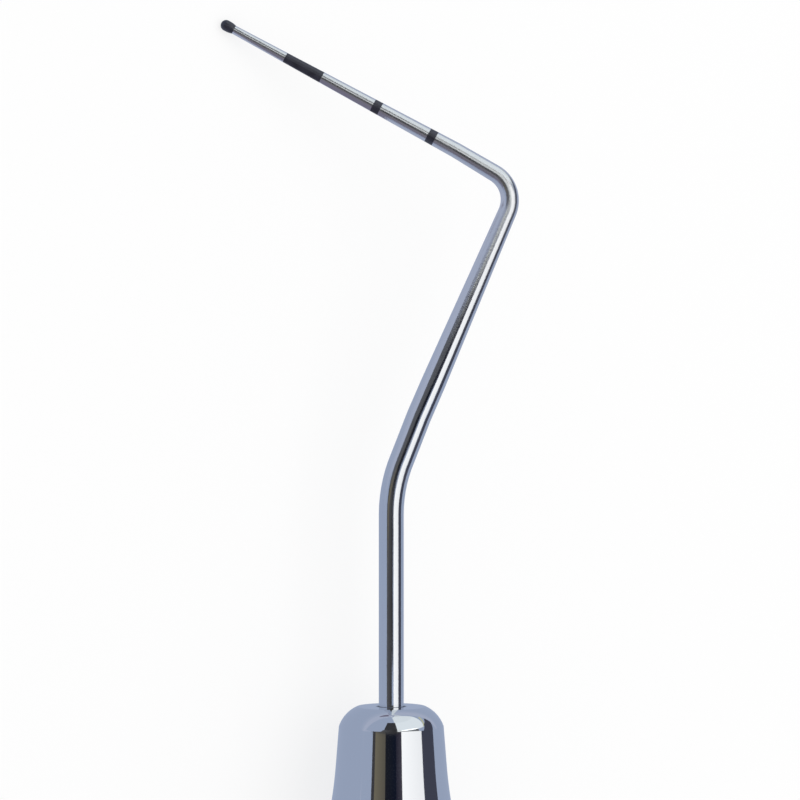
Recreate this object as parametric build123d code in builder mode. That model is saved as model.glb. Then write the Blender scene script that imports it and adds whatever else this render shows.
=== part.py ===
from build123d import *
from math import acos, asin, cos, degrees, radians, sin, sqrt, tan
import os

# Periodontal probe with a ball tip, in millimetres.
# The handle axis is X, with +X towards the working end. The origin is on that axis, at the middle
# of the cylindrical grip. Z is up: the probe lies on a table, on its grip and on its ball tip.

# Grip: a hollow handle of plain tube between a turned nose and a turned end cap
grip_diameter = 8.0
grip_length = 119.0
tube_wall = 0.6
spigot_clearance = 0.02
spigot_chamfer = 0.4

# End cap
cap_land_length = 4.0
cap_spigot_length = 6.0
cap_end_chamfer = 0.8

# Nose: flat face, rounded shoulder, slim cone, then a hollow flare that rolls over to the grip
nose_face_diameter = 3.3
nose_edge_diameter = 5.04
nose_round_depth = 0.95
nose_round_radius = 1.6
nose_cone_depth = 2.85
nose_cone_angle = 4.55
nose_flare_radius = 21.0
nose_roll_radius = 12.0
nose_land_length = 3.0
nose_spigot_length = 7.0

# Bore of the nose, which the tang of the shank is brazed into
tang_length = 8.0
bore_clearance = 0.02
bore_mouth_chamfer = 0.1

# Shank: one ground wire, bent in one plane, with lengths along its centre line
shank_diameter = 1.2
neck_length = 9.24
lower_bend_radius = 7.0
lower_bend_angle = 19.3
lower_ease_radius = 35.5
lower_ease_angle = 4.1
upper_length = 10.72
parallel_length = 1.7
elbow_radius = 1.5
elbow_angle = 80.5
elbow_ease_radius = 28.8
elbow_ease_angle = 4.4

# Tine: the straight measuring end, with depths from the end of the ball
tine_length = 12.84
tine_root_diameter = 0.75
tine_neck_diameter = 0.42
ball_diameter = 0.53
ball_barrel_end = 0.36
ball_length = 0.70

# Black marks, inlaid flush in shallow grooves
mark_depth = 0.04
band_start = 3.5
band_end = 5.5
ring_depths = (8.5, 11.5)
ring_width = 0.4

grip_radius = grip_diameter / 2
tube_bore_radius = grip_radius - tube_wall
spigot_radius = tube_bore_radius - spigot_clearance
tang_radius = shank_diameter / 2
ball_radius = ball_diameter / 2
tine_neck_radius = tine_neck_diameter / 2
tine_root_radius = tine_root_diameter / 2

# The cone meets the flare, and the flare the roll, without a kink. Their common slope is the one
# at which the two arcs together climb from the cone's end to the grip.
cone_end_radius = nose_edge_diameter / 2 + (nose_cone_depth - nose_round_depth) * tan(radians(nose_cone_angle))
flare_slope = degrees(
    acos(
        (nose_flare_radius * cos(radians(nose_cone_angle)) + nose_roll_radius - grip_radius + cone_end_radius)
        / (nose_flare_radius + nose_roll_radius)
    )
)
nose_depth = (
    nose_cone_depth
    + nose_flare_radius * (sin(radians(flare_slope)) - sin(radians(nose_cone_angle)))
    + nose_roll_radius * sin(radians(flare_slope))
)
nose_face_x = grip_length / 2 + nose_depth
nose_seat_x = grip_length / 2 - nose_land_length
cap_seat_x = cap_land_length - grip_length / 2
cap_end_x = -grip_length / 2 - cap_end_chamfer

# Centre line of the wire, drawn flat: X along the handle from the nose face, Y towards the elbow
with BuildLine() as centre_line:
    neck = Line((-tang_length, 0), (neck_length, 0))
    lower_bend = JernArc(neck @ 1, neck % 1, lower_bend_radius, lower_bend_angle)
    lower_ease = JernArc(lower_bend @ 1, lower_bend % 1, lower_ease_radius, lower_ease_angle)
    parallel = PolarLine(lower_ease @ 1, parallel_length, direction=lower_ease % 1)
    taper = PolarLine(parallel @ 1, upper_length - parallel_length, direction=parallel % 1)
    elbow = JernArc(taper @ 1, taper % 1, elbow_radius, -elbow_angle)
    elbow_ease = JernArc(elbow @ 1, elbow % 1, elbow_ease_radius, -elbow_ease_angle)
    tine = PolarLine(elbow_ease @ 1, tine_length, direction=elbow_ease % 1)

# The probe rolls on its grip until the ball touches the table, which sets the bend plane's tilt
ball_offset = -(tine @ 1 - (tine % 1) * ball_radius).Y
bend_tilt = asin((grip_radius - ball_radius) / ball_offset)
bend_plane = Plane(
    origin=(nose_face_x, 0, 0),
    x_dir=(1, 0, 0),
    z_dir=(0, -sin(bend_tilt), -cos(bend_tilt)),
)
tine_plane = Plane(
    origin=bend_plane.from_local_coords(tine @ 1),
    x_dir=bend_plane.from_local_coords(tine @ 0) - bend_plane.from_local_coords(tine @ 1),
    z_dir=bend_plane.z_dir,
)
tine_axis = Axis(tine_plane.origin, tine_plane.x_dir)


def ground_span(flat_span, start_diameter, end_diameter):
    """Sweep one stretch of the wire, ground to an even taper between its two ends."""
    span = flat_span.moved(bend_plane.location)
    sections = []
    for end, diameter in ((0, start_diameter), (1, end_diameter)):
        with BuildSketch(Plane(origin=span @ end, x_dir=bend_plane.z_dir, z_dir=span % end)) as section:
            Circle(diameter / 2)
        sections.append(section.sketch)
    sweep(sections=sections, path=span, multisection=True)


def tine_radius(depth):
    """Radius of the tine at a depth behind the ball."""
    share = (depth - ball_length) / (tine_length - ball_length)
    return tine_neck_radius + (tine_root_radius - tine_neck_radius) * share


def ball_section(inset):
    """Half the ball's section: round front, short barrel and a long curve to the neck."""
    curve_length = ball_length - ball_barrel_end
    drop = ball_radius - tine_neck_radius
    back_radius = (curve_length**2 + drop**2) / (2 * drop)
    back_centre = ball_radius - back_radius
    neck_radius = back_centre + sqrt((back_radius - inset) ** 2 - curve_length**2)
    with BuildSketch() as section:
        with BuildLine():
            front = CenterArc((ball_radius, 0), ball_radius - inset, 90, 90)
            barrel = Line(front @ 0, (ball_barrel_end, ball_radius - inset))
            back = RadiusArc(barrel @ 1, (ball_length, neck_radius), back_radius - inset)
            Polyline(back @ 1, (ball_length, 0), front @ 1)
        make_face()
    return section.sketch


def mark_section(start, end):
    """Half the section of one inlaid mark, between two depths along the tine."""
    with BuildSketch() as section:
        with BuildLine():
            Polyline(
                (start, tine_radius(start)),
                (end, tine_radius(end)),
                (end, tine_radius(end) - mark_depth),
                (start, tine_radius(start) - mark_depth),
                close=True,
            )
        make_face()
    return section.sketch


mark_spans = {"depth_band": (band_start, band_end)}
for number, ring_depth in enumerate(ring_depths, 1):
    mark_spans[f"depth_ring_{number}"] = (ring_depth - ring_width / 2, ring_depth + ring_width / 2)

# Shank: tang, neck, lower bend, tapered shank, elbow and tine, all one wire
taper_slope = (shank_diameter - tine_root_diameter) / (taper.length + elbow.length + elbow_ease.length)
elbow_start_diameter = shank_diameter - taper_slope * taper.length
elbow_end_diameter = elbow_start_diameter - taper_slope * elbow.length

with BuildPart() as shank:
    ground_span(neck, shank_diameter, shank_diameter)
    ground_span(lower_bend, shank_diameter, shank_diameter)
    ground_span(lower_ease, shank_diameter, shank_diameter)
    ground_span(parallel, shank_diameter, shank_diameter)
    ground_span(taper, shank_diameter, elbow_start_diameter)
    ground_span(elbow, elbow_start_diameter, elbow_end_diameter)
    ground_span(elbow_ease, elbow_end_diameter, tine_root_diameter)
    with BuildSketch(tine_plane):
        with BuildLine():
            Polyline(
                (ball_length, 0),
                (ball_length, tine_neck_radius),
                (tine_length, tine_root_radius),
                (tine_length, 0),
                close=True,
            )
        make_face()
        add(ball_section(mark_depth))
        for mark_start, mark_end in mark_spans.values():
            add(mark_section(mark_start, mark_end), mode=Mode.SUBTRACT)
    revolve(axis=tine_axis)

shank.part.label = "shank"

# Black coat over the ball, back to the neck
with BuildPart() as ball_coat:
    with BuildSketch(tine_plane):
        add(ball_section(0))
        add(ball_section(mark_depth), mode=Mode.SUBTRACT)
    revolve(axis=tine_axis)

ball_coat.part.label = "ball_coat"

# Black band and rings that fill the tine's grooves
depth_marks = []
for mark_name, (mark_start, mark_end) in mark_spans.items():
    with BuildPart() as depth_mark:
        with BuildSketch(tine_plane):
            add(mark_section(mark_start, mark_end))
        revolve(axis=tine_axis)
    depth_mark.part.label = mark_name
    depth_marks.append(depth_mark.part)

# Nose: turned, bored for the tang, with a spigot that enters the tube
with BuildPart() as handle_nose:
    with BuildSketch():
        with BuildLine():
            face = Line((nose_face_x, 0), (nose_face_x, nose_face_diameter / 2))
            rounding = RadiusArc(
                face @ 1,
                (nose_face_x - nose_round_depth, nose_edge_diameter / 2),
                -nose_round_radius,
            )
            cone = Line(rounding @ 1, (nose_face_x - nose_cone_depth, cone_end_radius))
            flare = JernArc(cone @ 1, cone % 1, nose_flare_radius, nose_cone_angle - flare_slope)
            roll = JernArc(flare @ 1, flare % 1, nose_roll_radius, flare_slope)
            Polyline(
                roll @ 1,
                (nose_seat_x, grip_radius),
                (nose_seat_x, spigot_radius),
                (nose_seat_x - nose_spigot_length + spigot_chamfer, spigot_radius),
                (nose_seat_x - nose_spigot_length, spigot_radius - spigot_chamfer),
                (nose_seat_x - nose_spigot_length, 0),
                face @ 0,
            )
        make_face()
    revolve(axis=Axis.X)
    with BuildSketch():
        bore_radius = tang_radius + bore_clearance
        with BuildLine():
            Polyline(
                (nose_face_x - tang_length, 0),
                (nose_face_x - tang_length, bore_radius),
                (nose_face_x - bore_mouth_chamfer, bore_radius),
                (nose_face_x, bore_radius + bore_mouth_chamfer),
                (nose_face_x, 0),
                close=True,
            )
        make_face()
    revolve(axis=Axis.X, mode=Mode.SUBTRACT)

handle_nose.part.label = "handle_nose"

# Tube of the grip
with BuildPart() as handle_tube:
    with BuildSketch(Plane.YZ.offset(cap_seat_x)):
        Circle(grip_radius)
        Circle(tube_bore_radius, mode=Mode.SUBTRACT)
    extrude(amount=nose_seat_x - cap_seat_x)

handle_tube.part.label = "handle_tube"

# End cap: turned, with a chamfered end and a spigot that enters the tube
with BuildPart() as end_cap:
    with BuildSketch(Plane.YZ.offset(cap_end_x)):
        Circle(grip_radius)
    extrude(amount=cap_seat_x - cap_end_x)
    chamfer(end_cap.edges().group_by(Axis.X)[0], cap_end_chamfer)
    with BuildSketch(Plane.YZ.offset(cap_seat_x)):
        Circle(spigot_radius)
    extrude(amount=cap_spigot_length)
    chamfer(end_cap.edges().group_by(Axis.X)[-1], spigot_chamfer)

end_cap.part.label = "end_cap"

os.makedirs("parts", exist_ok=True)
export_step(shank.part, "parts/shank.step")
export_step(ball_coat.part, "parts/ball_coat.step")
for mark_part in depth_marks:
    export_step(mark_part, f"parts/{mark_part.label}.step")
export_step(handle_nose.part, "parts/handle_nose.step")
export_step(handle_tube.part, "parts/handle_tube.step")
export_step(end_cap.part, "parts/end_cap.step")

handle_length = nose_face_x - cap_end_x
overall_length = shank.part.bounding_box().max.X - cap_end_x
print(f"handle {handle_length:.2f} mm, overall {overall_length:.2f} mm, nose {nose_depth:.2f} mm deep")
print(f"bend plane tilted {degrees(bend_tilt):.2f} degrees, ball {ball_offset:.2f} mm from the handle axis")
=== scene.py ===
"""Periodontal probe: ground and polished steel pieces, black depth marks and a small studio.

Metres throughout, in the frame of the solid model: the handle axis is X, with +X towards the
working end, and the probe lies on a floor at the height of its grip and its ball tip.
"""
from math import acos, asin, atan2, cos, hypot, pi, radians, sin, sqrt, tan

import bpy
from bpy.props import FloatProperty, FloatVectorProperty, IntProperty, PointerProperty
from mathutils import Matrix, Vector


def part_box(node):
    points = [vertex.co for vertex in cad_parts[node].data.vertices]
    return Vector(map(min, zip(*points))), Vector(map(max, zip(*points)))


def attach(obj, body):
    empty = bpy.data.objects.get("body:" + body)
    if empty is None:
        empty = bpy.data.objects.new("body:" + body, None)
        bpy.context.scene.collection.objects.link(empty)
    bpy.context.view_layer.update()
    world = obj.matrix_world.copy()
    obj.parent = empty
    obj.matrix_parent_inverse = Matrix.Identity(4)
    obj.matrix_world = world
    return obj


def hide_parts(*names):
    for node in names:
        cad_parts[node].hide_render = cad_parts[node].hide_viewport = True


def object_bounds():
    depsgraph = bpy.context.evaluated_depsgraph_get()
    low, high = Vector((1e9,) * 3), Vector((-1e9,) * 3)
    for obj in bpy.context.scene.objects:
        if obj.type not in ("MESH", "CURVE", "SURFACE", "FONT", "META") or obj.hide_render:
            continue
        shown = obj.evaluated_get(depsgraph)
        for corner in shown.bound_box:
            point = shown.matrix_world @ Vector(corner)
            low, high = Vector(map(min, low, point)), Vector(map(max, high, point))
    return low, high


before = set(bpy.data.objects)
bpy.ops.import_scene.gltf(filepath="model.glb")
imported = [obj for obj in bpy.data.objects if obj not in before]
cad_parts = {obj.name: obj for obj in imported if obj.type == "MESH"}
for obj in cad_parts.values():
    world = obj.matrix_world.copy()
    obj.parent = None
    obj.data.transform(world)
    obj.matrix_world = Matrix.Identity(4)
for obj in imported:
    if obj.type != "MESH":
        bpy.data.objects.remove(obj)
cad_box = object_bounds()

bl_info = {
    "name": "Periodontal Probe",
    "version": (1, 0, 0),
    "blender": (4, 5, 0),
    "location": "View3D > Sidebar > Probe",
    "description": "Dresses the solid model of a periodontal probe and lights it",
    "category": "Object",
}

MM = 0.001
BEND_STEP = radians(3.0)
SHARP_ANGLE = radians(28)
HAIR = 1e-6
SPIGOT_LEAD = 0.4 * MM
END_CHAMFER = 0.8 * MM
# Radius from the axis within which the nose's bore mouth is darkened as painted shade, and the width over
# which that painted shade fades; a radius below zero leaves it out.
MOUTH_SHADE_RADIUS = 0.71 * MM
MOUTH_SHADE_FADE = 0.08 * MM
NO_MOUTH_SHADE = -1.0 * MM


def length(name, description, millimetres):
    """A length property whose default is given in millimetres."""
    return FloatProperty(
        name=name, description=description, default=millimetres * MM, min=0.0, precision=5, unit="LENGTH"
    )


def angle(name, description, degrees):
    """An angle property whose default is given in degrees."""
    return FloatProperty(name=name, description=description, default=radians(degrees), unit="ROTATION")


def colour(name, description, rgb):
    """A colour property."""
    return FloatVectorProperty(
        name=name, description=description, default=rgb, size=3, min=0.0, max=1.0, subtype="COLOR"
    )


class ProbeShankSizes(bpy.types.PropertyGroup):
    """Sizes along the wire that carries the tine."""

    wire_diameter: length("Wire diameter", "Diameter of the shank where it leaves the handle", 1.2)
    root_diameter: length("Root diameter", "Diameter where the tine leaves the elbow", 0.75)
    neck_diameter: length("Neck diameter", "Diameter of the tine behind its ball", 0.42)
    tang: length("Tang", "Length of wire inside the nose", 8.0)
    neck: length("Neck", "Straight length from the nose to the lower bend", 9.24)
    lower_radius: length("Lower bend radius", "Radius of the lower bend", 7.0)
    lower_turn: angle("Lower bend", "Turn of the lower bend", 19.3)
    lower_ease_radius: length("Lower ease radius", "Radius of the slow end of the lower bend", 35.5)
    lower_ease_turn: angle("Lower ease", "Turn of the slow end of the lower bend", 4.1)
    parallel: length("Parallel length", "Length past the lower bend before the taper starts", 1.7)
    upper: length("Upper shank", "Straight length between the two bends", 10.72)
    elbow_radius: length("Elbow radius", "Radius of the elbow", 1.5)
    elbow_turn: angle("Elbow", "Turn of the elbow", 80.5)
    elbow_ease_radius: length("Elbow ease radius", "Radius of the slow end of the elbow", 28.8)
    elbow_ease_turn: angle("Elbow ease", "Turn of the slow end of the elbow", 4.4)
    tine: length("Tine", "Straight length of the measuring end", 12.84)
    sides: IntProperty(name="Sides", description="Facets round the wire", default=112, min=12, max=256)


class ProbeMarkSizes(bpy.types.PropertyGroup):
    """Sizes of the ball and of the black depth marks, measured from the end of the ball."""

    ball_diameter: length("Ball diameter", "Diameter of the ball over its coat", 0.53)
    ball_barrel: length("Ball barrel", "Depth at which the ball starts to narrow", 0.36)
    ball_length: length("Ball length", "Depth at which the ball meets the neck", 0.70)
    groove: length("Groove depth", "Depth of the grooves and thickness of the coat", 0.04)
    band_start: length("Band start", "Depth at which the black band starts", 3.5)
    band_end: length("Band end", "Depth at which the black band ends", 5.5)
    first_ring: length("First ring", "Depth of the middle of the first ring", 8.5)
    second_ring: length("Second ring", "Depth of the middle of the second ring", 11.5)
    ring_width: length("Ring width", "Width of a ring", 0.4)
    black: colour("Black", "Colour of the marks and the ball", (0.013, 0.013, 0.027))


class ProbeHandleSizes(bpy.types.PropertyGroup):
    """Sizes of the turned handle."""

    grip_diameter: length("Grip diameter", "Diameter of the grip", 8.0)
    wall: length("Tube wall", "Wall of the tube", 0.6)
    spigot_gap: length("Spigot gap", "Clearance of the spigots in the tube", 0.02)
    face_diameter: length("Face diameter", "Diameter of the nose's flat face", 3.3)
    edge_diameter: length("Edge diameter", "Diameter at the foot of the rounded shoulder", 5.04)
    round_depth: length("Shoulder depth", "Depth of the rounded shoulder", 0.95)
    round_radius: length("Shoulder radius", "Radius of the rounded shoulder", 1.6)
    cone_depth: length("Cone depth", "Depth at which the slim cone ends", 2.85)
    cone_angle: angle("Cone angle", "Half angle of the slim cone", 4.55)
    flare_radius: length("Flare radius", "Radius of the hollow flare", 21.0)
    roll_radius: length("Roll radius", "Radius that rolls over to the grip", 12.0)
    bore_gap: length("Bore gap", "Clearance round the tang", 0.02)
    bore_mouth: length("Bore mouth", "Chamfer at the mouth of the bore", 0.1)
    edge_ease: length("Edge ease", "Radius to which the turned edges are polished", 0.05)
    sides: IntProperty(name="Sides", description="Facets round the handle", default=192, min=24, max=512)
    steel: colour("Steel", "Colour of the polished steel", (0.78, 0.79, 0.81))


class ProbeStageSizes(bpy.types.PropertyGroup):
    """Camera, floor and light."""

    distance: length("Camera distance", "From the bend plane to the camera", 145.0)
    lens: FloatProperty(name="Lens", description="Focal length", default=135.7, unit="CAMERA")
    aim_along: length("Aim along", "Place along the handle that the camera looks at", 84.91)
    aim_across: length("Aim across", "Offset of the aim towards the elbow", 0.42)
    floor_colour: colour("Floor", "Colour of the pale floor", (0.97, 0.97, 0.97))
    floor_white: FloatProperty(
        name="Floor white",
        description="Share of plain white in the floor as it is seen",
        default=0.75,
        min=0.0,
        max=1.0,
        subtype="FACTOR",
    )
    card_colour: colour("Card", "Colour of the pale blue cards", (0.363, 0.427, 0.572))
    world_strength: FloatProperty(
        name="Fill", description="Strength of the even fill light", default=0.82, min=0.0
    )
    box_radiance: FloatProperty(
        name="Soft box", description="Radiance of the soft box", default=0.9, min=0.0
    )


# Bend plane: X along the handle, `across` towards the elbow, `toward` the camera


def wire_spans(s):
    """Straight and bent spans of the wire as (length, turn), from the tang to the tip."""
    return (
        (s.tang + s.neck, 0.0),
        (s.lower_radius * s.lower_turn, s.lower_turn),
        (s.lower_ease_radius * s.lower_ease_turn, s.lower_ease_turn),
        (s.parallel, 0.0),
        (s.upper - s.parallel, 0.0),
        (s.elbow_radius * s.elbow_turn, -s.elbow_turn),
        (s.elbow_ease_radius * s.elbow_ease_turn, -s.elbow_ease_turn),
        (s.tine, 0.0),
    )


def along_span(start, heading, reach, turn, part):
    """Place and heading after a share of one span, drawn flat."""
    run = reach * part
    if not turn:
        return start + Vector((cos(heading), sin(heading))) * run, heading
    bend = turn * part
    radius = reach / turn
    centre = start + Vector((-sin(heading), cos(heading))) * radius
    end = heading + bend
    return centre + Vector((sin(end), -cos(end))) * radius, end


def wire_ends(s):
    """Flat place and heading at the start of every span, and at the tip."""
    place, heading = Vector((-s.tang, 0.0)), 0.0
    ends = [(place, heading)]
    for reach, turn in wire_spans(s):
        place, heading = along_span(place, heading, reach, turn, 1.0)
        ends.append((place, heading))
    return ends


def nose_slope(h):
    """Common slope of the flare and the roll, and the radius where the cone ends."""
    cone_end = h.edge_diameter / 2 + (h.cone_depth - h.round_depth) * tan(h.cone_angle)
    climb = h.flare_radius * cos(h.cone_angle) + h.roll_radius - h.grip_diameter / 2 + cone_end
    return acos(climb / (h.flare_radius + h.roll_radius)), cone_end


def bend_plane(scene):
    """Origin, direction towards the elbow and direction towards the camera of the bend plane."""
    s, m, h = scene.probe_shank, scene.probe_marks, scene.probe_handle
    tip, heading = wire_ends(s)[-1]
    ball = tip - Vector((cos(heading), sin(heading))) * m.ball_diameter / 2
    tilt = asin((h.grip_diameter - m.ball_diameter) / 2 / -ball.y)
    across = Vector((0.0, -cos(tilt), sin(tilt)))
    toward = Vector((0.0, sin(tilt), cos(tilt)))
    face_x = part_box("handle_nose")[1].x
    return Vector((face_x, 0.0, 0.0)), across, toward


def placed(plane, flat):
    """A flat place in the bend plane as a place in the model."""
    origin, across, _ = plane
    return origin + Vector((flat.x, 0.0, 0.0)) + across * flat.y


def tine_radius(s, m, depth):
    """Radius of the tine at a depth behind the end of the ball."""
    share = (depth - m.ball_length) / (s.tine - m.ball_length)
    return (s.neck_diameter + (s.root_diameter - s.neck_diameter) * max(share, 0.0)) / 2


def ball_radius(s, m, depth, inset):
    """Radius of the ball at a depth, under a coat of the given thickness."""
    radius = m.ball_diameter / 2
    if depth < radius:
        return sqrt(max((radius - inset) ** 2 - (radius - depth) ** 2, 0.0))
    if depth < m.ball_barrel:
        return radius - inset
    reach = m.ball_length - m.ball_barrel
    drop = radius - s.neck_diameter / 2
    back = (reach**2 + drop**2) / (2 * drop)
    return radius - back + sqrt((back - inset) ** 2 - (depth - m.ball_barrel) ** 2)


def mark_spans(m):
    """Depths between which each black mark lies, by node."""
    half = m.ring_width / 2
    return {
        "depth_band": (m.band_start, m.band_end),
        "depth_ring_1": (m.first_ring - half, m.first_ring + half),
        "depth_ring_2": (m.second_ring - half, m.second_ring + half),
    }


# Materials


def node_material(name):
    """An empty node material with its shader, and the tree to add to."""
    material = bpy.data.materials.new(name)
    material.use_nodes = True
    tree = material.node_tree
    return material, tree, tree.nodes["Principled BSDF"]


def add_node(tree, kind, inputs=(), **settings):
    """A node with its settings, and its inputs linked or set by name or number."""
    node = tree.nodes.new(kind)
    for key, value in settings.items():
        setattr(node, key, value)
    for key, value in dict(inputs).items():
        if isinstance(value, bpy.types.NodeSocket):
            tree.links.new(value, node.inputs[key])
        else:
            node.inputs[key].default_value = value
    return node


def polished_steel(name, steel, roughness, lines, grain, mouth_shade):
    """Polished steel with fine lay lines across the axis X and slight wear in its gloss.

    Within the given radius of the axis, in the mouth of the bore round the shank, the colour is darkened as
    painted shade.
    """
    material, tree, shader = node_material(name)
    shader.inputs["Metallic"].default_value = 1.0
    place = add_node(tree, "ShaderNodeTexCoord").outputs["Object"]
    flat = add_node(tree, "ShaderNodeMapping", {"Vector": place, "Scale": (0.0, 1.0, 1.0)})
    out = add_node(tree, "ShaderNodeVectorMath", {0: flat.outputs[0]}, operation="LENGTH").outputs["Value"]
    # Painted shade: inside the radius the steel's colour falls to 0.3 of itself, in the bore mouth round
    # the shank.
    unshaded = add_node(
        tree, "ShaderNodeMapRange", {"Value": out, "From Min": mouth_shade, "From Max": mouth_shade + MOUTH_SHADE_FADE}
    )
    tint = add_node(tree, "ShaderNodeValToRGB", {"Fac": unshaded.outputs[0]})
    tint.color_ramp.elements[0].color = (*(0.3 * c for c in steel), 1.0)
    tint.color_ramp.elements[1].color = (*steel, 1.0)
    tree.links.new(tint.outputs[0], shader.inputs["Base Color"])
    stretched = add_node(tree, "ShaderNodeMapping", {"Vector": place, "Scale": lines})
    lay = add_node(
        tree,
        "ShaderNodeTexNoise",
        {"Vector": stretched.outputs[0], "Scale": 1.0, "Detail": 3.0, "Roughness": 0.6},
    )
    cloud = add_node(tree, "ShaderNodeTexNoise", {"Vector": place, "Scale": 420.0, "Detail": 4.0})
    gloss = add_node(
        tree,
        "ShaderNodeMapRange",
        {
            "Value": cloud.outputs["Fac"],
            "From Min": 0.3,
            "From Max": 0.7,
            "To Min": roughness[0],
            "To Max": roughness[1],
        },
    )
    tree.links.new(gloss.outputs[0], shader.inputs["Roughness"])
    bump = add_node(
        tree, "ShaderNodeBump", {"Height": lay.outputs["Fac"], "Strength": grain[0], "Distance": grain[1]}
    )
    tree.links.new(bump.outputs[0], shader.inputs["Normal"])
    return material


def ground_steel(name, steel, tine_start):
    """Wire ground round its axis, with fine rings along it. The tine past tine_start is satin.

    The rings and the finish follow the piece's own attribute, its length from the tang.
    """
    material, tree, shader = node_material(name)
    shader.inputs["Metallic"].default_value = 1.0
    along = add_node(tree, "ShaderNodeAttribute", attribute_name="along").outputs["Fac"]
    satin = add_node(
        tree,
        "ShaderNodeMapRange",
        {"Value": along, "From Min": tine_start - 12.0 * MM, "From Max": tine_start - 2.0 * MM},
    ).outputs[0]
    tint = add_node(tree, "ShaderNodeValToRGB", {"Fac": satin})
    tint.color_ramp.elements[0].color = (*steel, 1.0)
    tint.color_ramp.elements[1].color = (0.98 * steel[0], 0.97 * steel[1], 0.96 * steel[2], 1.0)
    tree.links.new(tint.outputs[0], shader.inputs["Base Color"])
    place = add_node(tree, "ShaderNodeTexCoord").outputs["Object"]
    fine = add_node(tree, "ShaderNodeMapping", {"Vector": place, "Scale": (8000.0, 8000.0, 8000.0)})
    rings_at = add_node(tree, "ShaderNodeMath", {0: along, 1: 6000.0}, operation="MULTIPLY")
    shifted = add_node(tree, "ShaderNodeCombineXYZ", {"X": rings_at.outputs[0]})
    spot = add_node(
        tree, "ShaderNodeVectorMath", {0: fine.outputs[0], 1: shifted.outputs[0]}, operation="ADD"
    )
    rings = add_node(
        tree,
        "ShaderNodeTexNoise",
        {"Vector": spot.outputs[0], "Scale": 1.0, "Detail": 2.0, "Roughness": 0.6},
    )
    cloud = add_node(tree, "ShaderNodeTexNoise", {"Vector": place, "Scale": 900.0, "Detail": 4.0})
    least = add_node(tree, "ShaderNodeMapRange", {"Value": satin, "To Min": 0.07, "To Max": 0.18})
    most = add_node(tree, "ShaderNodeMapRange", {"Value": satin, "To Min": 0.14, "To Max": 0.27})
    gloss = add_node(
        tree,
        "ShaderNodeMapRange",
        {
            "Value": cloud.outputs["Fac"],
            "From Min": 0.3,
            "From Max": 0.7,
            "To Min": least.outputs[0],
            "To Max": most.outputs[0],
        },
    )
    tree.links.new(gloss.outputs[0], shader.inputs["Roughness"])
    depth = add_node(tree, "ShaderNodeMapRange", {"Value": satin, "To Min": 0.3, "To Max": 1.0})
    bump = add_node(
        tree,
        "ShaderNodeBump",
        {"Height": rings.outputs["Fac"], "Strength": depth.outputs[0], "Distance": 0.35e-5},
    )
    tree.links.new(bump.outputs[0], shader.inputs["Normal"])
    return material


def black_coat(name, black):
    """Dull black inlay, slightly uneven, with a low sheen."""
    material, tree, shader = node_material(name)
    shader.inputs["Specular IOR Level"].default_value = 0.8
    place = add_node(tree, "ShaderNodeTexCoord").outputs["Object"]
    cloud = add_node(tree, "ShaderNodeTexNoise", {"Vector": place, "Scale": 2600.0, "Detail": 5.0})
    tint = add_node(tree, "ShaderNodeValToRGB", {"Fac": cloud.outputs["Fac"]})
    tint.color_ramp.elements[0].color = (*(0.7 * c for c in black), 1.0)
    tint.color_ramp.elements[0].position = 0.3
    tint.color_ramp.elements[1].color = (*(1.5 * c for c in black), 1.0)
    tint.color_ramp.elements[1].position = 0.75
    tree.links.new(tint.outputs[0], shader.inputs["Base Color"])
    gloss = add_node(
        tree,
        "ShaderNodeMapRange",
        {"Value": cloud.outputs["Fac"], "From Min": 0.3, "From Max": 0.7, "To Min": 0.3, "To Max": 0.45},
    )
    tree.links.new(gloss.outputs[0], shader.inputs["Roughness"])
    bump = add_node(
        tree, "ShaderNodeBump", {"Height": cloud.outputs["Fac"], "Strength": 0.5, "Distance": 0.4e-5}
    )
    tree.links.new(bump.outputs[0], shader.inputs["Normal"])
    return material


# Shapes


def mesh_object(name, points, faces, material):
    """A smooth mesh object with sharp edges kept, one material and no double points."""
    mesh = bpy.data.meshes.new(name)
    mesh.from_pydata([tuple(p) for p in points], [], faces)
    mesh.validate()
    mesh.materials.append(material)
    mesh.shade_smooth()
    mesh.set_sharp_from_angle(angle=SHARP_ANGLE)
    made = bpy.data.objects.new(name, mesh)
    bpy.context.scene.collection.objects.link(made)
    return made


def arc(start, end, centre, steps):
    """Points of an arc between two points, both left out."""
    first = atan2(start[1] - centre[1], start[0] - centre[0])
    last = atan2(end[1] - centre[1], end[0] - centre[0])
    turn = (last - first + pi) % (2 * pi) - pi
    radius = hypot(start[0] - centre[0], start[1] - centre[1])
    angles = (first + turn * k / steps for k in range(1, steps))
    return [(centre[0] + radius * cos(a), centre[1] + radius * sin(a)) for a in angles]


def eased(profile, corners, radius, steps=5):
    """A closed profile with the named corners rounded."""
    made = []
    count = len(profile)
    for number, point in enumerate(profile):
        if number not in corners:
            made.append(point)
            continue
        here = Vector(point)
        back = Vector(profile[number - 1]) - here
        ahead = Vector(profile[(number + 1) % count]) - here
        half = back.angle(ahead) / 2
        reach = min(radius / tan(half), back.length * 0.9, ahead.length * 0.9)
        middle = here + (back.normalized() + ahead.normalized()).normalized() * (reach / cos(half))
        first = here + back.normalized() * reach
        last = here + ahead.normalized() * reach
        made.append(tuple(first))
        made += arc(first, last, middle, steps)
        made.append(tuple(last))
    return made


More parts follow.
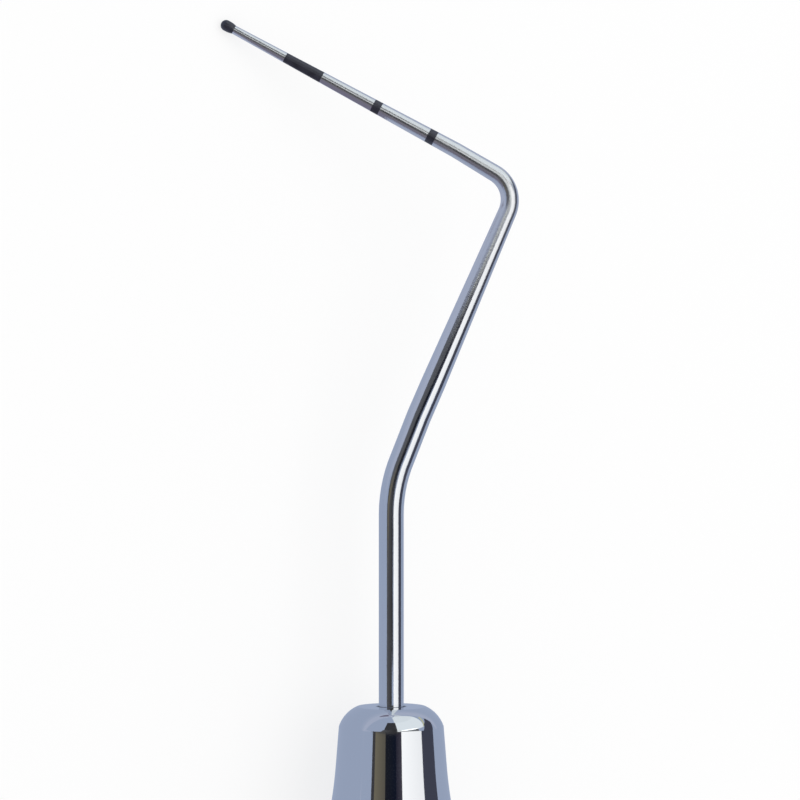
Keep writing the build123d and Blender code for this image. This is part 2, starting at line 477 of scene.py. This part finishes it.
def turned(name, profile, axis, sides, material):
    """A closed profile of (along, radius) turned about an axis = (origin, along, side, other)."""
    origin, forward, side, other = axis
    points, rings, faces = [], [], []
    for reach, radius in profile:
        centre = origin + forward * reach
        if radius < 1e-9:
            rings.append([len(points)] * sides)
            points.append(centre)
            continue
        rings.append(list(range(len(points), len(points) + sides)))
        for k in range(sides):
            a = 2 * pi * k / sides
            points.append(centre + (side * cos(a) + other * sin(a)) * radius)
    for number, ring in enumerate(rings):
        after = rings[(number + 1) % len(rings)]
        if ring[0] == ring[1] and after[0] == after[1]:
            continue
        for k in range(sides):
            j = (k + 1) % sides
            faces.append(list(dict.fromkeys((ring[k], ring[j], after[j], after[k]))))
    return mesh_object(name, points, faces, material)


def claim(piece, node):
    """The piece rides on the body and stands for its node."""
    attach(piece, "root")
    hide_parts(node)


def wire_tree():
    """Geometry nodes that sweep a round, evenly tapered wire along a line.

    The line's points carry an "inset", which is how far the surface lies under the taper.
    """
    tree = bpy.data.node_groups.new("ground_wire", "GeometryNodeTree")
    tree.interface.new_socket("Line", in_out="INPUT", socket_type="NodeSocketGeometry")
    for name in ("Wire Radius", "Root Radius", "Neck Radius", "Taper Start", "Tine Start", "Tine End"):
        tree.interface.new_socket(name, in_out="INPUT", socket_type="NodeSocketFloat")
    tree.interface.new_socket("Sides", in_out="INPUT", socket_type="NodeSocketInt")
    tree.interface.new_socket("Material", in_out="INPUT", socket_type="NodeSocketMaterial")
    tree.interface.new_socket("Mesh", in_out="OUTPUT", socket_type="NodeSocketGeometry")
    given = tree.nodes.new("NodeGroupInput").outputs
    curve = add_node(tree, "GeometryNodeMeshToCurve", {"Mesh": given["Line"]})
    reach = add_node(tree, "GeometryNodeSplineParameter").outputs["Length"]
    shank = add_node(
        tree,
        "ShaderNodeMapRange",
        {
            "Value": reach,
            "From Min": given["Taper Start"],
            "From Max": given["Tine Start"],
            "To Min": given["Wire Radius"],
            "To Max": given["Root Radius"],
        },
    )
    tine = add_node(
        tree,
        "ShaderNodeMapRange",
        {
            "Value": reach,
            "From Min": given["Tine Start"],
            "From Max": given["Tine End"],
            "To Min": given["Root Radius"],
            "To Max": given["Neck Radius"],
        },
    )
    both = add_node(tree, "ShaderNodeMath", {0: shank.outputs[0], 1: tine.outputs[0]}, operation="ADD")
    taper = add_node(
        tree, "ShaderNodeMath", {0: both.outputs[0], 1: given["Root Radius"]}, operation="SUBTRACT"
    )
    inset = add_node(tree, "GeometryNodeInputNamedAttribute", {"Name": "inset"}, data_type="FLOAT")
    radius = add_node(
        tree, "ShaderNodeMath", {0: taper.outputs[0], 1: inset.outputs["Attribute"]}, operation="SUBTRACT"
    )
    marked = add_node(
        tree,
        "GeometryNodeStoreNamedAttribute",
        {"Geometry": curve.outputs[0], "Name": "along", "Value": reach},
        data_type="FLOAT",
        domain="POINT",
    )
    ring = add_node(tree, "GeometryNodeCurvePrimitiveCircle", {"Resolution": given["Sides"], "Radius": 1.0})
    swept = add_node(
        tree,
        "GeometryNodeCurveToMesh",
        {
            "Curve": marked.outputs[0],
            "Profile Curve": ring.outputs["Curve"],
            "Scale": radius.outputs[0],
            "Fill Caps": True,
        },
    )
    real = add_node(tree, "GeometryNodeRealizeInstances", {"Geometry": swept.outputs[0]})
    finished = add_node(
        tree, "GeometryNodeSetMaterial", {"Geometry": real.outputs[0], "Material": given["Material"]}
    )
    out = tree.nodes.new("NodeGroupOutput")
    tree.links.new(finished.outputs[0], out.inputs["Mesh"])
    return tree


def wire_stations(s, m):
    """Flat places along the wire with the inset of each, from the tang to the tip."""
    stations = []
    spans = wire_spans(s)
    ends = wire_ends(s)
    for (reach, turn), (place, heading) in zip(spans[:-1], ends):
        steps = max(round(abs(turn) / BEND_STEP), 1) if turn else 12
        for k in range(steps):
            stations.append((along_span(place, heading, reach, turn, k / steps)[0], 0.0))
    tip, heading = ends[-1]
    back = -Vector((cos(heading), sin(heading)))
    depths = [(s.tine, 0.0)]
    for start, end in reversed(list(mark_spans(m).values())):
        depths += [(end + HAIR, 0.0), (end, m.groove), (start, m.groove), (start - HAIR, 0.0)]
    depths.sort(key=lambda row: -row[0])
    depths.append((m.ball_length + HAIR, 0.0))
    neck = s.neck_diameter / 2
    count = 14
    for k in range(count + 1):
        depth = m.ball_length - (m.ball_length - m.ball_barrel) * k / count
        depths.append((depth, neck - ball_radius(s, m, depth, m.groove)))
    core = m.ball_diameter / 2 - m.groove
    for k in range(25):
        a = pi / 2 * k / 24
        depth = m.ball_diameter / 2 - core * sin(a)
        depths.append((depth, neck - max(core * cos(a), HAIR)))
    for depth, inset in depths:
        stations.append((tip + back * depth, inset))
    return stations


class PROBE_OT_shank(bpy.types.Operator):
    """Make the ground shank with its tine, swept along the bent centre line"""

    bl_idname = "probe.shank"
    bl_label = "Shank"

    def execute(self, context):
        scene = context.scene
        s, m, h = scene.probe_shank, scene.probe_marks, scene.probe_handle
        plane = bend_plane(scene)
        stations = wire_stations(s, m)
        route = bpy.data.meshes.new("shank_line")
        steps = [(number, number + 1) for number in range(len(stations) - 1)]
        route.from_pydata([placed(plane, flat) for flat, _ in stations], steps, [])
        inset = route.attributes.new("inset", "FLOAT", "POINT")
        inset.data.foreach_set("value", [under for _, under in stations])
        line = bpy.data.objects.new("shank_line", route)
        scene.collection.objects.link(line)

        spans = [reach for reach, _ in wire_spans(s)]
        steel = ground_steel("ground_steel", h.steel, sum(spans[:7]))
        tree = wire_tree()
        sweep = line.modifiers.new("ground_wire", "NODES")
        sweep.node_group = tree
        sizes = {
            "Wire Radius": s.wire_diameter / 2,
            "Root Radius": s.root_diameter / 2,
            "Neck Radius": s.neck_diameter / 2,
            "Taper Start": sum(spans[:4]),
            "Tine Start": sum(spans[:7]),
            "Tine End": sum(spans) - m.ball_length,
            "Sides": s.sides,
            "Material": steel,
        }
        for item in tree.interface.items_tree:
            if item.in_out == "INPUT" and item.name in sizes:
                sweep[item.identifier] = sizes[item.name]
        graph = context.evaluated_depsgraph_get()
        mesh = bpy.data.meshes.new_from_object(line.evaluated_get(graph), depsgraph=graph)
        mesh.name = "ground_shank"
        bpy.data.objects.remove(line)
        mesh.shade_smooth()
        mesh.set_sharp_from_angle(angle=SHARP_ANGLE)
        shank = bpy.data.objects.new("ground_shank", mesh)
        scene.collection.objects.link(shank)
        claim(shank, "shank")
        return {"FINISHED"}


class PROBE_OT_marks(bpy.types.Operator):
    """Make the black coat of the ball and the black depth marks"""

    bl_idname = "probe.marks"
    bl_label = "Depth marks"

    def execute(self, context):
        scene = context.scene
        s, m = scene.probe_shank, scene.probe_marks
        plane = bend_plane(scene)
        tip, heading = wire_ends(s)[-1]
        backward = Vector((-cos(heading), 0.0, 0.0)) - plane[1] * sin(heading)
        side = plane[2]
        axis = (placed(plane, tip), backward, side, backward.cross(side))
        black = black_coat("black_mark", m.black)
        for node, (start, end) in mark_spans(m).items():
            outer = [(start, tine_radius(s, m, start)), (end, tine_radius(s, m, end))]
            inner = [(reach, radius - m.groove) for reach, radius in reversed(outer)]
            claim(turned(f"black_{node}", outer + inner, axis, s.sides, black), node)
        claim(turned("black_ball", self.coat(s, m), axis, s.sides, black), "ball_coat")
        return {"FINISHED"}

    def coat(self, s, m):
        """Closed section of the coat: out over the ball to the neck, and back under it."""
        radius = m.ball_diameter / 2
        under, over = [], []
        for k in range(25):
            a = pi / 2 * k / 24
            over.append((radius - radius * cos(a), radius * sin(a)))
            core = radius - m.groove
            under.append((radius - core * cos(a), core * sin(a)))
        for k in range(15):
            depth = m.ball_barrel + (m.ball_length - m.ball_barrel) * k / 14
            over.append((depth, ball_radius(s, m, depth, 0.0)))
            under.append((depth, ball_radius(s, m, depth, m.groove)))
        return over + under[::-1]


class PROBE_OT_handle(bpy.types.Operator):
    """Make the polished nose, tube and end cap of the handle"""

    bl_idname = "probe.handle"
    bl_label = "Handle"

    def execute(self, context):
        h = context.scene.probe_handle
        finish = (h.steel, (0.035, 0.06), (26000.0, 300.0, 300.0), (0.06, 0.2e-5))
        # The nose's steel carries painted shade in the mouth of its bore.
        mouth_shaded = polished_steel("mouth_shaded_steel", *finish, MOUTH_SHADE_RADIUS)
        steel = polished_steel("polished_steel", *finish, NO_MOUTH_SHADE)
        axis = (Vector(), Vector((1, 0, 0)), Vector((0, 1, 0)), Vector((0, 0, 1)))
        for name, node, profile, material in (
            ("polished_nose", "handle_nose", self.nose(h), mouth_shaded),
            ("polished_tube", "handle_tube", self.tube(h), steel),
            ("polished_cap", "end_cap", self.cap(h), steel),
        ):
            claim(turned(name, profile, axis, h.sides, material), node)
        return {"FINISHED"}

    def nose(self, h):
        """Closed section of the nose, from the mouth of its bore round to the bore's end."""
        low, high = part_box("handle_nose")
        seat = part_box("handle_tube")[1].x
        s = bpy.context.scene.probe_shank
        face, grip = high.x, h.grip_diameter / 2
        spigot = grip - h.wall - h.spigot_gap
        bore = s.wire_diameter / 2 + h.bore_gap
        first = (face, h.face_diameter / 2)
        second = (face - h.round_depth, h.edge_diameter / 2)
        chord = Vector(second) - Vector(first)
        rise = sqrt(h.round_radius**2 - (chord.length / 2) ** 2)
        middle = (Vector(first) + Vector(second)) / 2 + Vector((-chord.y, chord.x)).normalized() * rise
        slope, cone_end = nose_slope(h)
        cone = (face - h.cone_depth, cone_end)
        flare_centre = (
            cone[0] + h.flare_radius * sin(h.cone_angle),
            cone[1] + h.flare_radius * cos(h.cone_angle),
        )
        flare = (
            flare_centre[0] - h.flare_radius * sin(slope),
            flare_centre[1] - h.flare_radius * cos(slope),
        )
        roll = (flare[0] - h.roll_radius * sin(slope), grip)
        profile = [(face - h.bore_mouth, bore), (face, bore + h.bore_mouth), first]
        profile += arc(first, second, middle, 24)
        corner = len(profile)
        profile += [second, cone]
        profile += arc(cone, flare, flare_centre, 24)
        profile += [flare]
        profile += arc(flare, roll, (roll[0], grip - h.roll_radius), 24)
        profile += [roll]
        joint = len(profile)
        profile += [
            (seat, grip),
            (seat, spigot),
            (low.x + SPIGOT_LEAD, spigot),
            (low.x, spigot - SPIGOT_LEAD),
            (low.x, 0.0),
            (face - s.tang, 0.0),
            (face - s.tang, bore),
        ]
        return eased(profile, {2, corner, joint}, h.edge_ease)

    def tube(self, h):
        """Closed section of the tube."""
        low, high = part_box("handle_tube")
        grip = h.grip_diameter / 2
        bore = grip - h.wall
        profile = [(high.x, bore), (high.x, grip), (low.x, grip), (low.x, bore)]
        return eased(profile, {1, 2}, h.edge_ease)

    def cap(self, h):
        """Closed section of the end cap."""
        low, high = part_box("end_cap")
        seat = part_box("handle_tube")[0].x
        grip = h.grip_diameter / 2
        spigot = grip - h.wall - h.spigot_gap
        profile = [
            (high.x, 0.0),
            (high.x, spigot - SPIGOT_LEAD),
            (high.x - SPIGOT_LEAD, spigot),
            (seat, spigot),
            (seat, grip),
            (low.x + END_CHAMFER, grip),
            (low.x, grip - END_CHAMFER),
            (low.x, 0.0),
        ]
        return eased(profile, {4, 5, 6}, h.edge_ease)


# Stage


def glow(name, tint):
    """An even glow for a card that only the metal mirrors."""
    material, tree, shader = node_material(name)
    tree.nodes.remove(shader)
    light = add_node(tree, "ShaderNodeEmission", {"Color": (*tint, 1.0), "Strength": 1.0})
    tree.links.new(light.outputs[0], tree.nodes["Material Output"].inputs["Surface"])
    return material


def only_mirrored(card):
    """The card shows in polished metal, and neither shades nor lights anything."""
    card.visible_camera = False
    card.visible_diffuse = False
    card.visible_transmission = False
    card.visible_volume_scatter = False
    card.visible_shadow = False


def curved_card(name, plane, centre, distance, corners, tints):
    """A curved card round a centre, between four (round, up) corners in degrees.

    Round is the angle about the handle from the camera to the picture's right, and up the angle
    towards +X. Two tints run from the card's left edge to its right edge.
    """
    _, across, toward = plane
    steps = 24
    points, faces, shares = [], [], []
    low_left, low_right, high_right, high_left = (Vector(c) for c in corners)
    for i in range(steps + 1):
        left = low_left.lerp(high_left, i / steps)
        right = low_right.lerp(high_right, i / steps)
        for j in range(steps + 1):
            round_, up = (radians(v) for v in left.lerp(right, j / steps))
            level = (toward * cos(round_) + across * sin(round_)) * cos(up)
            points.append(centre + (level + Vector((sin(up), 0, 0))) * distance)
            shares.append(j / steps)
    row = steps + 1
    for i in range(steps):
        for j in range(steps):
            k = i * row + j
            faces.append((k, k + 1, k + row + 1, k + row))
    material = glow(name, tints[0])
    if len(tints) > 1:
        tree = material.node_tree
        share = add_node(tree, "ShaderNodeAttribute", attribute_name="share").outputs["Fac"]
        ramp = add_node(tree, "ShaderNodeValToRGB", {"Fac": share})
        for element, tint in zip(ramp.color_ramp.elements, tints):
            element.color = (*tint, 1.0)
        tree.links.new(ramp.outputs[0], tree.nodes["Emission"].inputs["Color"])
    card = mesh_object(name, points, faces, material)
    card.data.attributes.new("share", "FLOAT", "POINT").data.foreach_set("value", shares)
    only_mirrored(card)


LIGHT_BLUE = (0.44, 0.49, 0.63)

# Cards as (name, place along the handle in mm, distance in m, (round, up) corners in degrees,
# glow from left to right). A card without a glow has the stage's pale blue.
CARDS = (
    ("far_card", 84.9, 0.80, ((-63, -89), (119, -89), (119, 89), (-63, 89)), None),
    ("left_high", 84.9, 0.75, ((-63, 10), (-8, 16), (-8, 28), (-63, 28)), (LIGHT_BLUE,)),
    ("top_light", 84.9, 0.60, ((-12, 31), (88, 31), (112, 62), (2, 62)), ((0.86, 0.93, 0.97),)),
    ("top_end", 84.9, 0.60, ((12, 62), (112, 62), (112, 86), (12, 86)), ((0.80, 0.87, 0.91),)),
    ("gap_light", 84.9, 0.50, ((-14, 3), (24, 3), (24, 36), (-14, 36)), ((0.80, 0.83, 0.83),)),
    ("warm_edge", 84.9, 0.58, ((84, 30), (94, 34), (119, 50), (112, 52)), ((0.55, 0.56, 0.38),)),
    ("box_back", 84.9, 0.47,
     ((22, -21), (69, -21), (69, 31), (22, 31)),
     ((0.29, 0.30, 0.30), (0.13, 0.14, 0.15))),
    ("slate_low", 84.9, 0.30, ((69, -30), (102, -30), (104, 10), (69, 10)), ((0.057, 0.061, 0.089),)),
    ("slate_high", 84.9, 0.30, ((69, 10), (104, 10), (135, 46), (94, 34)), ((0.057, 0.061, 0.089),)),
    ("shade", 84.9, 0.30,
     ((-63, -75), (30, -75), (12, -13), (-63, -13)),
     ((0.19, 0.18, 0.26), (0.19, 0.18, 0.17))),
    ("flag_low", 84.9, 0.146,
     ((-43, -16), (2, -16), (10, -5), (-40, -5)),
     ((0.10, 0.10, 0.105), (0.04, 0.04, 0.042))),
    ("flag_high", 84.9, 0.146,
     ((-43, 2), (20, 0), (8, 7), (-43, 24)),
     ((0.11, 0.115, 0.13), (0.075, 0.077, 0.085))),
    ("flag_edge", 84.9, 0.145, ((-40, -6), (-34, -6), (-34, 3.5), (-40, 3.5)), ((0.05, 0.05, 0.055),)),
    ("flag_olive", 84.9, 0.145,
     ((-34, -6), (-12, -6), (-12, 3.5), (-34, 3.5)),
     ((0.178, 0.16, 0.115), (0.11, 0.10, 0.08))),
    ("flag_navy", 84.9, 0.145,
     ((-12, -6), (10, -6), (10, 3.5), (-12, 3.5)),
     ((0.012, 0.014, 0.02), (0.006, 0.009, 0.021))),
    ("flag_violet", 84.9, 0.145,
     ((10, -6), (22, -6), (22, 3.5), (10, 3.5)),
     ((0.02, 0.02, 0.035), (0.06, 0.055, 0.075))),
    ("flag_top", 84.9, 0.145, ((-18, 25), (15, 25), (14, 60), (-14, 60)), ((0.04, 0.04, 0.045),)),
    ("flag_neck", 70.4, 0.020,
     ((-43, 0), (17, 0), (9, 30), (-18, 30)),
     ((0.09, 0.09, 0.095), (0.03, 0.03, 0.033))),
)


def seen_directly(tree):
    """Socket that is 1 where the camera, polished metal or glass looks at the surface."""
    path = add_node(tree, "ShaderNodeLightPath").outputs
    seen = add_node(
        tree, "ShaderNodeMath", {0: path["Is Camera Ray"], 1: path["Is Glossy Ray"]}, operation="MAXIMUM"
    )
    return add_node(
        tree, "ShaderNodeMath", {0: seen.outputs[0], 1: path["Is Transmission Ray"]}, operation="MAXIMUM"
    ).outputs[0]


def flat_square(name, centre, reach, material):
    """A level square that reaches so far from its centre."""
    corners = [centre + Vector((i * reach, j * reach, 0)) for i, j in ((-1, -1), (1, -1), (1, 1), (-1, 1))]
    return mesh_object(name, corners, [(0, 1, 2, 3)], material)


class PROBE_OT_stage(bpy.types.Operator):
    """Set the floor, the soft light, the cards and the camera"""

    bl_idname = "probe.stage"
    bl_label = "Stage"

    def execute(self, context):
        scene = context.scene
        sizes = scene.probe_stage
        plane = bend_plane(scene)
        _, across, toward = plane
        aim = Vector((sizes.aim_along, 0, 0)) + across * sizes.aim_across
        self.camera(scene, sizes, aim, across, toward)
        self.floor(sizes)
        self.world(scene, sizes)
        self.cards(scene, sizes, plane, Vector((sizes.aim_along, 0, 0)))
        scene.view_settings.view_transform = "Standard"
        return {"FINISHED"}

    def camera(self, scene, sizes, aim, across, toward):
        """Camera square to the bend plane, with +X up in the picture."""
        eye = bpy.data.cameras.new("camera")
        eye.lens = sizes.lens
        eye.sensor_width = 36.0
        eye.clip_start, eye.clip_end = 0.01, 20.0
        camera = bpy.data.objects.new("camera", eye)
        axes = Matrix((across, Vector((1, 0, 0)), toward)).transposed().to_4x4()
        camera.matrix_world = Matrix.Translation(aim + toward * sizes.distance) @ axes
        scene.collection.objects.link(camera)
        scene.camera = camera

    def floor(self, sizes):
        """Pale floor at the height on which the probe lies. It keeps the probe's shadow."""
        material, tree, shader = node_material("pale_floor")
        place = add_node(tree, "ShaderNodeTexCoord").outputs["Object"]
        cloud = add_node(tree, "ShaderNodeTexNoise", {"Vector": place, "Scale": 6.0, "Detail": 2.0})
        shade = add_node(tree, "ShaderNodeValToRGB", {"Fac": cloud.outputs["Fac"]})
        shade.color_ramp.elements[0].color = (*(0.985 * c for c in sizes.floor_colour), 1.0)
        shade.color_ramp.elements[1].color = (*sizes.floor_colour, 1.0)
        tree.links.new(shade.outputs[0], shader.inputs["Base Color"])
        shader.inputs["Roughness"].default_value = 0.9
        shader.inputs["Specular IOR Level"].default_value = 0.0
        share = add_node(
            tree, "ShaderNodeMath", {0: seen_directly(tree), 1: sizes.floor_white}, operation="MULTIPLY"
        )
        white = add_node(tree, "ShaderNodeEmission", {"Color": (1, 1, 1, 1), "Strength": 1.0})
        mix = add_node(
            tree, "ShaderNodeMixShader", {0: share.outputs[0], 1: shader.outputs[0], 2: white.outputs[0]}
        )
        tree.links.new(mix.outputs[0], tree.nodes["Material Output"].inputs["Surface"])
        flat_square("floor", Vector((0, 0, cad_box[0].z)), 3.0, material)

    def world(self, scene, sizes):
        """White surroundings, which fill with an even, softer light."""
        world = bpy.data.worlds.new("studio")
        scene.world = world
        world.use_nodes = True
        tree = world.node_tree
        tree.nodes.clear()
        fill = add_node(tree, "ShaderNodeBackground", {"Strength": sizes.world_strength})
        fill.inputs["Color"].default_value = (1, 1, 1, 1)
        white = add_node(tree, "ShaderNodeBackground", {"Strength": 1.0})
        white.inputs["Color"].default_value = (1, 1, 1, 1)
        mix = add_node(
            tree, "ShaderNodeMixShader", {0: seen_directly(tree), 1: fill.outputs[0], 2: white.outputs[0]}
        )
        out = tree.nodes.new("ShaderNodeOutputWorld")
        tree.links.new(mix.outputs[0], out.inputs["Surface"])

    def cards(self, scene, sizes, plane, aim):
        """Soft box over the probe, and the cards and flags that shape its reflections."""
        _, across, toward = plane
        blue = tuple(sizes.card_colour)
        turn, up, distance = radians(45.5), radians(8), 0.42
        lamp = bpy.data.lights.new("soft_box", "AREA")
        lamp.shape = "RECTANGLE"
        lamp.size, lamp.size_y = 0.37, 0.46
        lamp.energy = sizes.box_radiance * pi * lamp.size * lamp.size_y
        box = bpy.data.objects.new("soft_box", lamp)
        down = -(toward * cos(turn) + across * sin(turn))
        right = Vector((1, 0, 0)).cross(down)
        axes = Matrix((right, Vector((1, 0, 0)), -down)).transposed().to_4x4()
        centre = aim - down * distance + Vector((distance * tan(up), 0, 0))
        box.matrix_world = Matrix.Translation(centre) @ axes
        box.visible_camera = False
        scene.collection.objects.link(box)

        for name, along, distance, corners, tints in CARDS:
            centre = Vector((along * MM, 0, 0))
            curved_card(name, plane, centre, distance, corners, tints or (blue,))

        self.tine_flag(scene, plane)
        level = cad_box[0].z + 1e-5
        material = glow("floor_card", blue)
        tree = material.node_tree
        place = add_node(tree, "ShaderNodeTexCoord").outputs["Object"]
        split = add_node(tree, "ShaderNodeSeparateXYZ", {0: place})
        share = add_node(
            tree, "ShaderNodeMapRange", {"Value": split.outputs["X"], "From Min": 0.080, "From Max": 0.095}
        )
        tint = add_node(tree, "ShaderNodeValToRGB", {"Fac": share.outputs[0]})
        tint.color_ramp.elements[0].color = (*blue, 1.0)
        tint.color_ramp.elements[1].color = (*LIGHT_BLUE, 1.0)
        tree.links.new(tint.outputs[0], tree.nodes["Emission"].inputs["Color"])
        only_mirrored(flat_square("floor_card", Vector((aim.x, aim.y, level)), 0.8, material))

    def tine_flag(self, scene, plane):
        """A curved strip beside the tine, which keeps the floor out of its lower side."""
        _, across, toward = plane
        tip, heading = wire_ends(scene.probe_shank)[-1]
        back = Vector((-cos(heading), 0.0, 0.0)) - across * sin(heading)
        below = toward.cross(back).normalized()
        if below.x > 0:
            below = -below
        steps = 12
        points = []
        for depth in (1.0 * MM, 9.0 * MM):
            for k in range(steps + 1):
                turn = radians(58 + 82 * k / steps)
                out = toward * cos(turn) + below * sin(turn)
                points.append(placed(plane, tip) + back * depth + out * 3.0 * MM)
        row = steps + 1
        faces = [(k, k + 1, k + row + 1, k + row) for k in range(steps)]
        only_mirrored(mesh_object("tine_flag", points, faces, glow("tine_flag", (0.19, 0.18, 0.25))))


class PROBE_PT_panel(bpy.types.Panel):
    """Lists the steps that make the probe, with their sizes"""

    bl_idname = "PROBE_PT_panel"
    bl_label = "Periodontal Probe"
    bl_space_type = "VIEW_3D"
    bl_region_type = "UI"
    bl_category = "Probe"

    def draw(self, context):
        for step, sizes in STEPS:
            column = self.layout.column()
            column.operator(step.bl_idname)
            group = getattr(context.scene, sizes)
            for name in group.bl_rna.properties.keys():
                if name not in ("rna_type", "name"):
                    column.prop(group, name)


STEPS = (
    (PROBE_OT_shank, "probe_shank"),
    (PROBE_OT_marks, "probe_marks"),
    (PROBE_OT_handle, "probe_handle"),
    (PROBE_OT_stage, "probe_stage"),
)
GROUPS = {
    "probe_shank": ProbeShankSizes,
    "probe_marks": ProbeMarkSizes,
    "probe_handle": ProbeHandleSizes,
    "probe_stage": ProbeStageSizes,
}
CLASSES = (*GROUPS.values(), *(step for step, _ in STEPS), PROBE_PT_panel)


def register():
    for cls in CLASSES:
        bpy.utils.register_class(cls)
    for name, group in GROUPS.items():
        setattr(bpy.types.Scene, name, PointerProperty(type=group))


def unregister():
    for name in GROUPS:
        delattr(bpy.types.Scene, name)
    for cls in reversed(CLASSES):
        bpy.utils.unregister_class(cls)


def main():
    register()
    for step, _ in STEPS:
        group, name = step.bl_idname.split(".")
        getattr(getattr(bpy.ops, group), name)()


if __name__ == "__main__":
    main()
